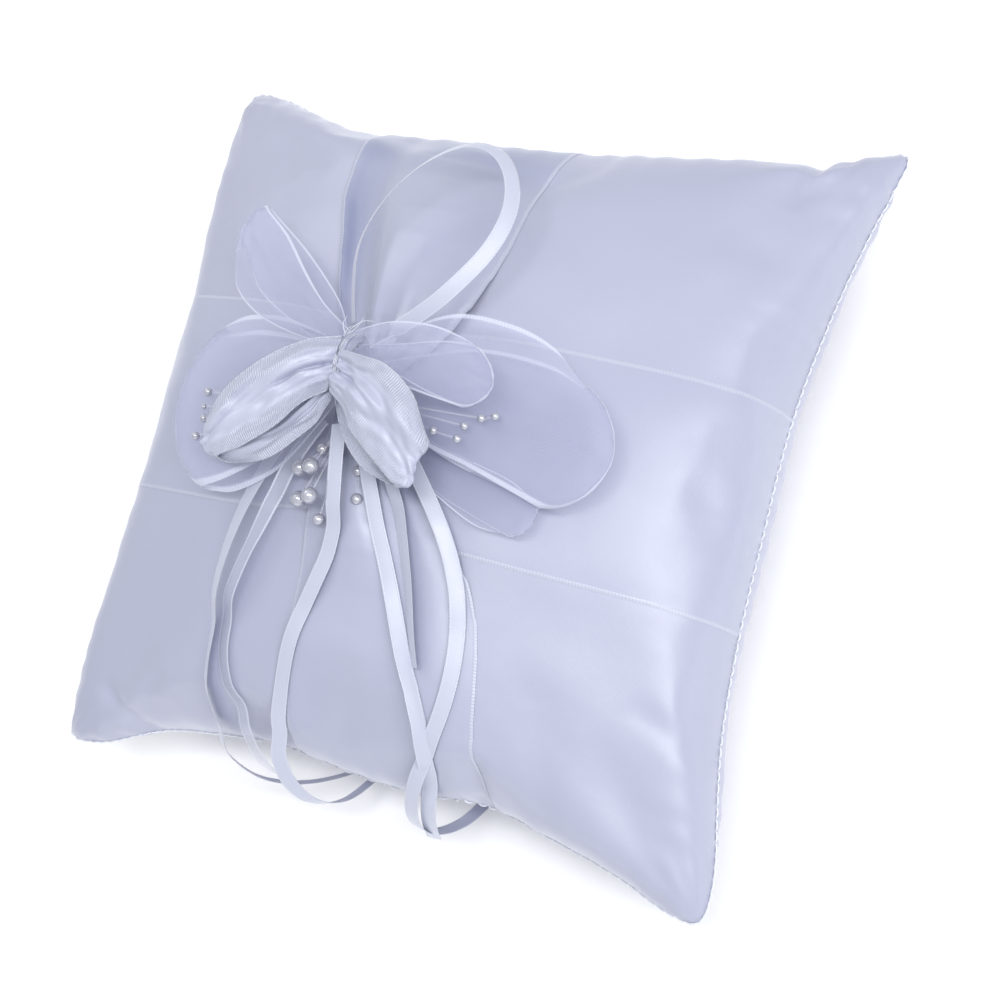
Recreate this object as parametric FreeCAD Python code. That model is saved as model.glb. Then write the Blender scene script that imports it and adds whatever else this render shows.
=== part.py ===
"""A ring bearer pillow: a square satin cushion crossed by two wide ribbons, with a soft bow tied over the crossing.

The pillow lies on its back. X runs to its right, Y to its top edge and Z up through the bow, in millimetres.
The origin is on the surface it rests on, under the middle of its outline.
"""
import FreeCAD, Part
import math
import os

from FreeCAD import Vector

# Pillow
CORNERS = {"tl": (-99, 101), "tr": (101, 100), "br": (99, -101), "bl": (-101, -98)}
PULL_TOP, PULL_RIGHT, PULL_BOTTOM, PULL_LEFT = 7, 9, 15, 6
SEAM_Z = 35
CROWN, BELLY = 38, 41
COVER_WALL = 0.8
FILLING_GAP = 0.3
GRID = (-1, -0.94, -0.8, -0.5, 0, 0.5, 0.8, 0.94, 1)

# Bands: each lies a little clear of what is under it
BAND_WALL = 0.6
BAND_WIDTH = 57
HORIZONTAL_LIFT = 0.15
VERTICAL_LIFT = 0.95
BAND_FOOT_Z = SEAM_Z + 1.7

# Stitches
THREAD_R = 0.3
STITCH, STITCH_GAP = 3.4, 0.7
STITCH_OUT = 0.8
OPENING_HALF = 32
TACKING_R, TACKING_HOLE_R = 0.5, 0.75

# Knot: a wrap round the X axis, over the pinched middle of the ribbons
KNOT = Vector(-9, 12, 84)
WRAP_Y, WRAP_Z, WRAP_WIDTH, WRAP_WALL = 9, 8, 5, 1.2
PLAY = 0.3

# Loops of the bow
LOOP_WALL = 0.8
LEFT_ROOT_X, RIGHT_ROOT_X = -13.6, -4.4

# Narrow ribbons and sprays
RIBBON = 4
STEM_R = 0.25

nodes = {}


def outline_point(u, v):
    """Where grid place (u, v), each from -1 to 1, lies in plan: bilinear in the corners, with pulled-in edges."""
    x = y = 0
    for name, side_u, side_v in (("tl", -1, 1), ("tr", 1, 1), ("br", 1, -1), ("bl", -1, -1)):
        share = (1 + side_u * u) * (1 + side_v * v) / 4
        x += share * CORNERS[name][0]
        y += share * CORNERS[name][1]
    x -= (PULL_RIGHT * max(u, 0) - PULL_LEFT * max(-u, 0)) * (1 - abs(v) ** 2.5)
    y -= PULL_TOP * max(v, 0) * (1 - abs(u) ** 4) - PULL_BOTTOM * max(-v, 0) * (1 - abs(u) ** 2.5)
    return x, y


def swell(t):
    """How full the cushion is at t, from 1 in the middle to 0 at a seam."""
    return max(0, 1 - t * t) ** 0.44


def half_surface(side, grow):
    """The cushion's upper (side 1) or lower (side -1) skin, grown outward by grow all over."""
    full = (CROWN if side > 0 else BELLY) + grow
    poles = []
    for u in GRID:
        row = []
        for v in GRID:
            x, y = outline_point(u, v)
            row.append(Vector(x + grow * u, y + grow * v, SEAM_Z + side * full * swell(u) * swell(v)))
        poles.append(row)
    spans = len(GRID) - 3
    knots = [i / spans for i in range(spans + 1)]
    mults = [4] + [1] * (spans - 1) + [4]
    surface = Part.BSplineSurface()
    surface.buildFromPolesMultsKnots(poles, mults, mults, knots, knots, False, False, 3, 3)
    return surface


def half_solid(side, grow):
    """The solid between one skin and the seam plane."""
    skin = half_surface(side, grow).toShape()
    base = Part.Face(Part.Wire(Part.__sortEdges__(skin.Edges)))
    return solid_of([skin, base])


def solid_of(faces):
    shell = Part.Shell(faces)
    solid = Part.Solid(shell)
    if solid.Volume < 0:
        solid.reverse()
    return solid


def slab(low, high):
    """Everything from height low to height high."""
    return Part.makeBox(300, 300, high - low, Vector(-150, -150, low))


def prism(points, low, high):
    """An upright prism over a closed polygon in plan."""
    corners = [Vector(x, y, low) for x, y in points]
    face = Part.Face(Part.makePolygon(corners + corners[:1]))
    return face.extrude(Vector(0, 0, high - low))


def rod(start, end, radius):
    along = end.sub(start)
    return Part.makeCylinder(radius, along.Length, start, along)


def drill(shape, low):
    """shape with the tacking thread's hole, from height low upward."""
    return shape.cut(Part.makeCylinder(TACKING_HOLE_R, 100, Vector(KNOT.x, KNOT.y, low), Vector(0, 0, 1)))


def pillow_cover():
    upper = half_solid(1, 0).cut(half_solid(1, -COVER_WALL))
    nodes["front_panel"] = drill(upper, SEAM_Z + 10)
    outer = half_solid(-1, 0).common(slab(0, SEAM_Z))
    inner = half_solid(-1, -COVER_WALL).common(slab(COVER_WALL, SEAM_Z))
    nodes["back_panel"] = outer.cut(inner)


def filling():
    inset = -(COVER_WALL + FILLING_GAP)
    upper = half_solid(1, inset)
    lower = half_solid(-1, inset).common(slab(-inset, SEAM_Z))
    nodes["fibre_filling"] = drill(upper.fuse(lower).removeSplitter(), KNOT.z - 26)


def band(plan, lift):
    """A ribbon on the front panel from seam to seam, inside a plan outline."""
    layer = half_solid(1, lift + BAND_WALL).cut(half_solid(1, lift))
    return drill(layer.common(prism(plan, BAND_FOOT_Z, 100)), SEAM_Z + 10)


def bands():
    left_y, right_y = 4.5, -0.5
    half = BAND_WIDTH / 2
    horizontal = [(-120, left_y + half), (120, right_y + half), (120, right_y - half), (-120, left_y - half)]
    nodes["horizontal_band"] = band(horizontal, HORIZONTAL_LIFT)
    waist = [(-40, 120), (-40, 70), (-35, 52), (-25, 27), (-17, 14), (-17, 6), (-18, -20), (-17, -46), (-18, -120)]
    other_side = [(42, -120), (39, -70), (33, -37), (14, -12), (-1, 6), (-1, 14), (9, 27), (17, 52), (18, 77), (20, 120)]
    nodes["vertical_band"] = band(waist + other_side, VERTICAL_LIFT)


def stitches():
    """The machine stitches all round, and the hand stitches where the filling went in."""
    seam = half_surface(1, 0)
    sides = (
        (lambda t: seam.value(t, 1), Vector(0, STITCH_OUT, 0)),
        (lambda t: seam.value(1, t), Vector(STITCH_OUT, 0, 0)),
        (lambda t: seam.value(0, t), Vector(-STITCH_OUT, 0, 0)),
        (lambda t: seam.value(t, 0), Vector(0, -STITCH_OUT, 0)),
    )
    count = int(200 / (STITCH + STITCH_GAP))
    share = STITCH / (STITCH + STITCH_GAP)
    machine, hand = [], []
    for place, out in sides:
        for i in range(1, count - 1):
            start = place(i / count).add(out)
            end = place((i + share) / count).add(out)
            if out.y < 0 and abs(start.x) < OPENING_HALF:
                lean = Vector(0.8, 0, 1)
                hand.append(rod(start.sub(lean), start.add(lean), THREAD_R))
            else:
                machine.append(rod(start, end, THREAD_R))
    nodes["edge_seam_thread"] = Part.makeCompound(machine)
    nodes["closing_stitches"] = Part.makeCompound(hand)


def oval_bar(half_y, half_z, width):
    """A bar along X with an oval section, centred on the knot."""
    oval = Part.Ellipse(Vector(0, 0, 0), half_y, half_z)
    bar = Part.Face(Part.Wire(oval.toShape())).extrude(Vector(0, 0, width))
    turn = FreeCAD.Rotation(Vector(0, 1, 0), Vector(0, 0, 1), Vector(1, 0, 0), "ZXY")
    bar.Placement = FreeCAD.Placement(KNOT.sub(Vector(width / 2, 0, 0)), turn)
    return bar


def knot():
    inner_y, inner_z = WRAP_Y - WRAP_WALL, WRAP_Z - WRAP_WALL
    hollow = oval_bar(inner_y, inner_z, WRAP_WIDTH + 2)
    nodes["knot_wrap"] = oval_bar(WRAP_Y, WRAP_Z, WRAP_WIDTH).cut(hollow)
    nodes["gathered_middle"] = oval_bar(inner_y - PLAY, inner_z - PLAY, WRAP_WIDTH + 1)
    ring = oval_bar(WRAP_Y + 0.8, WRAP_Z + 0.8, 0.8).cut(oval_bar(WRAP_Y + 0.1, WRAP_Z + 0.1, 2))
    ends = []
    for x, y in ((3, 4.5), (1, 5.5)):
        root = KNOT.add(Vector(0, WRAP_Y + 0.4, 1.5))
        ends.append(rod(root, root.add(Vector(x, y, 1)), 0.25))
    nodes["binding_thread"] = ring.fuse(ends)
    foot = Vector(KNOT.x, KNOT.y, KNOT.z - 25)
    nodes["tacking_thread"] = rod(foot, Vector(KNOT.x, KNOT.y, KNOT.z - WRAP_Z - 0.9), TACKING_R)


def ribbon_loop(length, bend_r, width, root_width):
    """A flat ribbon folded back on itself along +X, pinched at its root and widest near the bend."""
    def side_view(wall, start):
        low, reach = 0.5 + LOOP_WALL - wall, length - wall
        centre = length - bend_r
        r = bend_r - wall
        top = Part.LineSegment(Vector(start, 0, low), Vector(centre, 0, r))
        bend = Part.Arc(Vector(centre, 0, r), Vector(reach, 0, 0), Vector(centre, 0, -r))
        under = Part.LineSegment(Vector(centre, 0, -r), Vector(start, 0, -low))
        back = Part.LineSegment(Vector(start, 0, -low), Vector(start, 0, low))
        return Part.Face(Part.Wire([edge.toShape() for edge in (top, bend, under, back)]))

    ring = side_view(0, 0).cut(side_view(LOOP_WALL, 3)).extrude(Vector(0, width, 0))
    ring.translate(Vector(0, -width / 2, 0))
    half = ((0, 0.5 * root_width), (0.35, 0.36 * width), (0.7, 0.5 * width), (0.95, 0.34 * width), (1.02, 0))
    near = [Vector(s * length, w, 0) for s, w in half]
    far = [Vector(p.x, -p.y, 0) for p in reversed(near[:-1])]
    rim = Part.BSplineCurve()
    rim.interpolate(near + far)
    root = Part.LineSegment(far[-1], near[0])
    plan = Part.Face(Part.Wire([rim.toShape(), root.toShape()]))
    plan.translate(Vector(0, 0, -20))
    return ring.common(plan.extrude(Vector(0, 0, 40)))


def placed(shape, root, heading, rise):
    """shape moved to root, turned to a heading in plan and tilted up by rise degrees."""
    turned = shape.copy()
    tilt = FreeCAD.Rotation(Vector(0, 1, 0), -rise)
    spin = FreeCAD.Rotation(Vector(0, 0, 1), heading)
    turned.Placement = FreeCAD.Placement(Vector(*root), spin.multiply(tilt))
    return turned


def loops():
    left, right = LEFT_ROOT_X, RIGHT_ROOT_X
    table = {
        "organza_loop_left": ((left, 10.5, 82), 187, -5, (52, 4.5, 37, 8)),
        "organza_loop_upper_left": ((left, 18, 82.2), 140, -5, (56, 3, 20, 4)),
        "satin_loop_left": ((left, 8, 88.5), 215, 5, (36, 5, 24, 7)),
        "organza_loop_right": ((right, 13, 81.5), -8, -5, (71, 4.5, 34, 9)),
        "organza_loop_short": ((right, 16.5, 88), 0, 5, (38, 4, 16, 5)),
        "satin_loop_right": ((right, 8, 88.5), -35, 8, (33, 6, 23, 7)),
    }
    for name, (root, heading, rise, sizes) in table.items():
        nodes[name] = placed(ribbon_loop(*sizes), root, heading, rise)


def ball(x, y, z, radius):
    return Part.makeSphere(radius, Vector(x, y, z))


def spray(name, root, pearls, stem_groups):
    """Pearls threaded on clear stems: each group of pearls shares one stem from the root."""
    nodes["pearls_" + name] = Part.makeCompound([ball(*pearl) for pearl in pearls])
    stems = []
    for group in stem_groups:
        here = Vector(*root)
        for index in group:
            x, y, z, radius = pearls[index]
            there = Vector(x, y, z)
            way = there.sub(here).normalize()
            stems.append(rod(here, there.sub(way * (radius + 0.05)), STEM_R))
            here = there.add(way * (radius + 0.05))
    nodes["stems_" + name] = Part.makeCompound(stems)


def sprays():
    left_pearls = ((-49, 0, 84, 1.1), (-49, -4, 84, 0.7), (-48, -7, 84, 1.1), (-49, -12, 84, 1.1))
    spray("left", (LEFT_ROOT_X, 3, 85), left_pearls, ((0,), (1,), (2,), (3,)))
    right_pearls = ((19, 0, 84.3, 1.1), (26, -1, 84.3, 1.1), (27, 2.4, 84.3, 1.1), (31, 5, 84.3, 1.1), (34.5, 6, 84.3, 1.1))
    spray("right", (RIGHT_ROOT_X, 5, 84.8), right_pearls, ((0, 1), (2,), (3, 4)))
    low_pearls = (
        (-20, -14, 76.8, 2.2), (-15, -13.5, 80, 2.2), (-18, -22, 76.6, 2.2), (-13, -21, 80, 2.2), (-11, -26, 76, 1.6),
        (-15.5, -8, 76, 1.6), (-10, -8, 76.4, 1.3), (-3.5, -12, 76, 1.5), (-2, -19, 75.6, 1.6),
    )
    spray("low", (-9, 1.5, 77), low_pearls, ((5, 0), (1,), (2,), (3,), (6, 4), (7, 8)))


def ribbon_tube(name, route):
    """A free ribbon's envelope: straight runs joined by arcs as large as the runs allow."""
    points = [Vector(*p) for p in route]
    runs = [b.sub(a).Length for a, b in zip(points, points[1:])]
    edges, radii, here = [], [], points[0]
    for i in range(1, len(points) - 1):
        back = points[i - 1].sub(points[i]).normalize()
        ahead = points[i + 1].sub(points[i]).normalize()
        half_turn = (math.pi - back.getAngle(ahead)) / 2
        reach = 0.45 * min(runs[i - 1], runs[i])
        radius = reach / math.tan(half_turn)
        start, end = points[i].add(back * reach), points[i].add(ahead * reach)
        bisector = back.add(ahead).normalize()
        middle = points[i].add(bisector * (radius / math.cos(half_turn) - radius))
        edges += [Part.LineSegment(here, start).toShape(), Part.Arc(start, middle, end).toShape()]
        radii.append(radius)
        here = end
    edges.append(Part.LineSegment(here, points[-1]).toShape())
    path = Part.Wire(edges)
    section = Part.Wire(Part.Circle(points[0], points[1].sub(points[0]), RIBBON / 2).toShape())
    tube = path.makePipeShell([section], True, True)
    nodes[name] = tube
    expected = math.pi * (RIBBON / 2) ** 2 * path.Length
    print(
        f"{name}: length {path.Length:.0f}, volume ratio {tube.Volume / expected:.3f}, "
        f"least radius {min(radii):.1f}, runs {min(runs):.0f} to {max(runs):.0f}"
    )


def free_ribbons():
    ribbon_tube("narrow_loop_top", (
        (-11, 23.6, 85), (-13, 33, 87), (-14, 43, 88.5), (-11, 54, 88.5), (-5, 64, 87.5), (2, 71, 86),
        (10, 74.5, 85), (18, 72, 84.5), (23, 65, 84.5), (24.5, 56, 85), (22, 46, 86), (16.5, 37, 87), (9.5, 29, 86.5),
        (1, 23, 85),
    ))
    ribbon_tube("narrow_tail_left", (
        (-9, -2, 82), (-7, -12, 82), (-6.5, -21, 80), (-8.5, -30, 76), (-11, -40, 73), (-15, -50, 70.5),
        (-18.5, -60, 67), (-21, -70, 62), (-22, -80, 55.5), (-21.5, -89, 47), (-21, -95, 37), (-19, -97.5, 27),
        (-15.5, -95.5, 18), (-12, -89.5, 12), (-9, -82, 8),
    ))
    ribbon_tube("narrow_tail_far_left", (
        (-17.5, 5.5, 77.6), (-25, -2, 75.4), (-31.5, -12, 73.8), (-37, -24, 72.5), (-41.5, -36, 70), (-44.5, -48, 67),
        (-46, -60, 62.5), (-46, -72, 57), (-44, -83, 49.5), (-41, -91.5, 40), (-36.5, -96, 29), (-30.5, -95.5, 19.5),
        (-24, -90, 13), (-17, -83, 8.5),
    ))
    ribbon_tube("sheer_tail", (
        (-16.5, -0.5, 77.6), (-23, -9, 76), (-27, -20, 74.5), (-30.5, -31, 72.6), (-35, -42, 70), (-38.5, -53, 66.8),
        (-39.5, -64, 62.5), (-37, -74, 58), (-32.5, -82.5, 53), (-29.5, -89.5, 46), (-28.5, -93, 36.5), (-28, -92, 27.5),
    ))
    ribbon_tube("narrow_tail_middle", (
        (-4.5, -2.8, 78), (0.3, -12.5, 77.3), (5, -23.5, 75.7), (9.5, -34, 73.6), (13, -45, 71), (17, -55.5, 67.6),
        (22, -65.5, 63.7), (25, -75, 59), (24.5, -84, 52.5), (22.5, -91, 43.5), (20.5, -94.5, 33), (19, -97, 24),
    ))
    ribbon_tube("narrow_tail_short", (
        (1.2, -3.5, 77.8), (6.7, -12.8, 76.8), (12.3, -24, 75), (16, -35, 72.8), (19, -46, 70), (22.5, -56, 66.4),
    ))
    ribbon_tube("narrow_tail_right", (
        (7.5, -2.8, 77.8), (14.2, -10.8, 76.8), (21, -19, 75.5), (26.5, -28, 74), (30, -39, 72), (31.5, -50, 69.5),
        (31.5, -61, 66.5), (29, -71, 64.5), (24, -80, 61.5), (17, -88.5, 53.5), (12.5, -95, 42), (11, -96.5, 29.5),
        (13, -96, 19), (18.5, -92, 12), (24, -84.5, 8),
    ))


def export():
    os.makedirs("parts", exist_ok=True)
    for name, shape in nodes.items():
        volumes = [solid.Volume for solid in shape.Solids]
        print(f"{name}: {len(volumes)} solids, {sum(volumes):.1f} mm3, valid {shape.isValid()}")
        shape.exportStep(f"parts/{name}.step")


pillow_cover()
filling()
bands()
stitches()
knot()
loops()
sprays()
free_ribbons()
export()
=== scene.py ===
import math

import bpy
import numpy as np
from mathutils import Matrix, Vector, noise
from mathutils.bvhtree import BVHTree


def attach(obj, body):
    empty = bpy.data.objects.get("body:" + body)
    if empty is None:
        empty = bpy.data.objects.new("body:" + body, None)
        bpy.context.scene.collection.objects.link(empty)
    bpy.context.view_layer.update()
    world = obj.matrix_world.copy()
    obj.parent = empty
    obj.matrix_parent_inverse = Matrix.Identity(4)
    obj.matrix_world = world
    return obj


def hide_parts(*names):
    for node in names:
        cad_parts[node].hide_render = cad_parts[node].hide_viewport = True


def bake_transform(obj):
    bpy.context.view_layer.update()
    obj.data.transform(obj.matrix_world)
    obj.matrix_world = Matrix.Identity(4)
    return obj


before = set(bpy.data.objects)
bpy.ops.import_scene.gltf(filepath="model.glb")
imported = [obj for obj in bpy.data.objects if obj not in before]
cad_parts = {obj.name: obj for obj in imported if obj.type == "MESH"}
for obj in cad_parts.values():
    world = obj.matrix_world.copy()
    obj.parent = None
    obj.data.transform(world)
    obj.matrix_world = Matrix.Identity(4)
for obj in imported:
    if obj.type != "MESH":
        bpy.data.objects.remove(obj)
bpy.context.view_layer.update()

MM = 0.001
DECIMETRE = 0.1
SCENE = bpy.context.scene


def placed(name, data):
    """A new object in the scene."""
    thing = bpy.data.objects.new(name, data)
    SCENE.collection.objects.link(thing)
    return thing


# ------------ camera
camera_data = bpy.data.cameras.new("camera")
camera_data.lens = 64.3
camera_data.sensor_width = 36
camera_data.clip_start = 0.01
camera = placed("camera", camera_data)
camera.location = (0.2287, -0.0731, 0.4595)
camera.rotation_euler = [math.radians(a) for a in (14.82, 23.6, 15.89)]
SCENE.camera = camera


# ------------ curves and grids in code
def smooth_line(rows, count):
    """A smooth line through given rows of numbers, at count even steps from row to row."""
    rows = np.array(rows, float)
    padded = np.vstack([2 * rows[0] - rows[1], rows, 2 * rows[-1] - rows[-2]])
    at = np.linspace(0, len(rows) - 1, count)
    span = np.minimum(at.astype(int), len(rows) - 2)
    t = (at - span)[:, None]
    a, b, c, d = (padded[span + k] for k in range(4))
    square, cube = (2 * a - 5 * b + 4 * c - d) * t ** 2, (3 * b - a - 3 * c + d) * t ** 3
    return 0.5 * (2 * b + (c - a) * t + square + cube)


def run_along(line):
    """The distance from the first point of a line to each of its points."""
    return np.concatenate([[0], np.cumsum(np.linalg.norm(np.diff(line, axis=0), axis=1))])


def even_line(rows, count):
    """smooth_line with its points spaced evenly along its length."""
    fine = smooth_line(rows, 40 * len(rows))
    run = run_along(fine)
    at = np.linspace(0, run[-1], count)
    return np.stack([np.interp(at, run, fine[:, k]) for k in range(fine.shape[1])], axis=1)


def finer(grid, times):
    """The same surface with each cell of its grid divided, along a smooth line through its points."""
    count = (grid.shape[0] - 1) * times + 1
    flat = smooth_line(grid.reshape(grid.shape[0], -1), count).reshape(count, grid.shape[1], 3)
    turned = flat.transpose(1, 0, 2)
    flat = smooth_line(turned.reshape(turned.shape[0], -1), count).reshape(count, count, 3)
    return flat.transpose(1, 0, 2)


def normals_of(grid):
    """A unit normal at each point of a grid."""
    along_u, along_v = np.gradient(grid, axis=0), np.gradient(grid, axis=1)
    normal = np.cross(along_u, along_v)
    return normal / np.maximum(np.linalg.norm(normal, axis=2, keepdims=True), 1e-12)


def unit(vectors):
    """The same vectors at length 1."""
    return vectors / np.maximum(np.linalg.norm(vectors, axis=-1, keepdims=True), 1e-12)


def uv_grid(along, across):
    """A UV map from the values along a ribbon and across it."""
    return np.stack(np.meshgrid(along, across, indexing="ij"), axis=2)


class Shape:
    """Collects grids and tubes into one mesh with a UV map."""

    def __init__(self):
        # creases holds each point's share of painted shade, darker colour standing in for shade in folds
        self.points, self.faces, self.uvs, self.creases = [], [], [], []

    def add_grid(self, grid, uv=None, flip=False, closed=False, painted_shade=None):
        n, m = grid.shape[:2]
        self.creases.extend([0.0] * (n * m) if painted_shade is None else painted_shade.ravel())
        start = len(self.points)
        self.points.extend(map(tuple, grid.reshape(-1, 3)))
        if uv is None:
            uv = uv_grid(np.linspace(0, 1, n), np.linspace(0, 1, m))
        self.uvs.extend(map(tuple, uv.reshape(-1, 2)))
        for i in range(n - 1):
            for j in range(m if closed else m - 1):
                k = (j + 1) % m
                here, following = start + i * m, start + (i + 1) * m
                corners = [here + j, following + j, following + k, here + k]
                self.faces.append(corners[::-1] if flip else corners)

    def add_tube(self, path, radius, sides):
        """A round thread along path; radius is a number or one for each point. Its ends are rounded off."""
        path = np.array(path, float)
        radii = np.full(len(path), radius, float) if np.isscalar(radius) else np.array(radius, float)
        tangents = unit(np.gradient(path, axis=0))
        first, last = path[0] - tangents[0] * radii[0] * 0.5, path[-1] + tangents[-1] * radii[-1] * 0.5
        path = np.vstack([first, path, last])
        tangents = np.vstack([tangents[0], tangents, tangents[-1]])
        radii = np.concatenate([[radii[0] * 0.35], radii, [radii[-1] * 0.35]])
        helper = np.array([0.0, 0.0, 1.0]) if abs(tangents[0][2]) < 0.9 else np.array([1.0, 0.0, 0.0])
        side = unit(np.cross(helper, tangents[0]))
        rings = []
        for p, t, r in zip(path, tangents, radii):
            side = unit(side - t * np.dot(side, t))
            up = np.cross(t, side)
            turn = np.linspace(0, 2 * math.pi, sides, endpoint=False)
            rings.append(p + r * (np.outer(np.cos(turn), side) + np.outer(np.sin(turn), up)))
        self.add_grid(np.array(rings), closed=True, flip=True)
        self.close_ends(len(rings), sides)

    def close_ends(self, rings, sides, both=True):
        """A face over the first ring of the tube that was added last, and one over its last ring."""
        start = len(self.points) - rings * sides
        self.faces.append(list(range(start, start + sides)))
        if both:
            self.faces.append(list(range(len(self.points) - 1, len(self.points) - sides - 1, -1)))

    def build(self, name, material, thickness=0.0, offset=-1):
        """Makes the object, smooth shaded, with a modifier for the cloth's thickness if it has one."""
        mesh = bpy.data.meshes.new(name)
        mesh.from_pydata(self.points, [], self.faces)
        layer = mesh.uv_layers.new(name="cloth")
        loops = np.zeros(len(mesh.loops), int)
        mesh.loops.foreach_get("vertex_index", loops)
        layer.data.foreach_set("uv", np.array(self.uvs, np.float32)[loops].ravel())
        # painted shade: each point's share, by which the cloth material darkens its colour
        painted_shade = mesh.attributes.new("painted_shade", "FLOAT", "POINT")
        painted_shade.data.foreach_set("value", np.array(self.creases, np.float32))
        mesh.polygons.foreach_set("use_smooth", [True] * len(mesh.polygons))
        mesh.materials.append(material)
        piece = placed(name, mesh)
        if thickness:
            solid = piece.modifiers.new("cloth_thickness", "SOLIDIFY")
            solid.thickness = thickness
            solid.offset = offset
            shading = piece.modifiers.new("flat_cloth_shading", "WEIGHTED_NORMAL")
            shading.weight = 100
        return piece


def surface_tree(up_grids, down_grids=()):
    """A search tree over grids that face up or down, for laying things on them."""
    points, faces = [], []
    for grid in [*up_grids, *[g[::-1] for g in down_grids]]:
        n, m = grid.shape[:2]
        start = len(points)
        points.extend(Vector(p) for p in grid.reshape(-1, 3))
        for i in range(n - 1):
            for j in range(m - 1):
                k = start + i * m + j
                faces.append((k, k + m, k + m + 1, k + 1))
    return BVHTree.FromPolygons(points, faces)


# ------------ materials
def new_material(name):
    material = bpy.data.materials.new(name)
    material.use_nodes = True
    tree = material.node_tree
    return material, tree, tree.nodes["Principled BSDF"]


def add_node(tree, kind, inputs=None, **settings):
    node = tree.nodes.new(kind)
    for key, value in settings.items():
        setattr(node, key, value)
    for key, value in (inputs or {}).items():
        if isinstance(value, bpy.types.NodeSocket):
            tree.links.new(value, node.inputs[key])
        else:
            node.inputs[key].default_value = value
    return node


def maths(tree, operation, a, b=0.0, clamp=False):
    return add_node(tree, "ShaderNodeMath", {0: a, 1: b}, operation=operation, use_clamp=clamp).outputs[0]


def wave(tree, vector, scale, direction, distortion=0.0):
    inputs = {"Vector": vector, "Scale": scale, "Distortion": distortion, "Detail": 1.0, "Detail Scale": 2.0}
    node = add_node(tree, "ShaderNodeTexWave", inputs, wave_type="BANDS", bands_direction=direction)
    return node.outputs["Fac"]


def clouds(tree, vector, scale, detail=3.0, roughness=0.5):
    inputs = {"Vector": vector, "Scale": scale, "Detail": detail, "Roughness": roughness}
    return add_node(tree, "ShaderNodeTexNoise", inputs).outputs["Fac"]


def mixed(tree, share, low, high):
    node = add_node(tree, "ShaderNodeMix", data_type="RGBA")
    tree.links.new(share, node.inputs[0])
    for socket, value in ((node.inputs[6], low), (node.inputs[7], high)):
        if isinstance(value, bpy.types.NodeSocket):
            tree.links.new(value, socket)
        else:
            socket.default_value = (*value, 1)
    return node.outputs[2]


def ranged(tree, value, low, high, to_low, to_high):
    inputs = {"Value": value, "From Min": low, "From Max": high, "To Min": to_low, "To Max": to_high}
    return add_node(tree, "ShaderNodeMapRange", inputs).outputs["Result"]


def bumped(tree, height, distance, strength=1.0, under=None):
    inputs = {"Height": height, "Distance": distance, "Strength": strength}
    if under is not None:
        inputs["Normal"] = under
    return add_node(tree, "ShaderNodeBump", inputs).outputs["Normal"]


def ripple(tree, along, pitch_mm):
    """A sine along the cloth, whose UV map is in decimetres."""
    return maths(tree, "SINE", maths(tree, "MULTIPLY", along, 2 * math.pi / (pitch_mm * MM) * DECIMETRE))


def set_shader(tree, shader, **values):
    """Links patterns to a shader's sockets and sets single values, with _ for each space in a name."""
    for key, value in values.items():
        socket = shader.inputs[key.replace("_", " ")]
        if isinstance(value, bpy.types.NodeSocket):
            tree.links.new(value, socket)
        else:
            socket.default_value = value


# painted shade: the dark lavender that each point's share of painted shade mixes into the cloth, standing in
# for shade in folds and under loops
PAINTED_SHADE_COLOUR = (0.15, 0.175, 0.31)
SHEEN_TINT = (0.93, 0.95, 1, 1)
WAVE_SCALE = 0.314  # of a wave texture whose bands are 1 m apart


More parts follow.
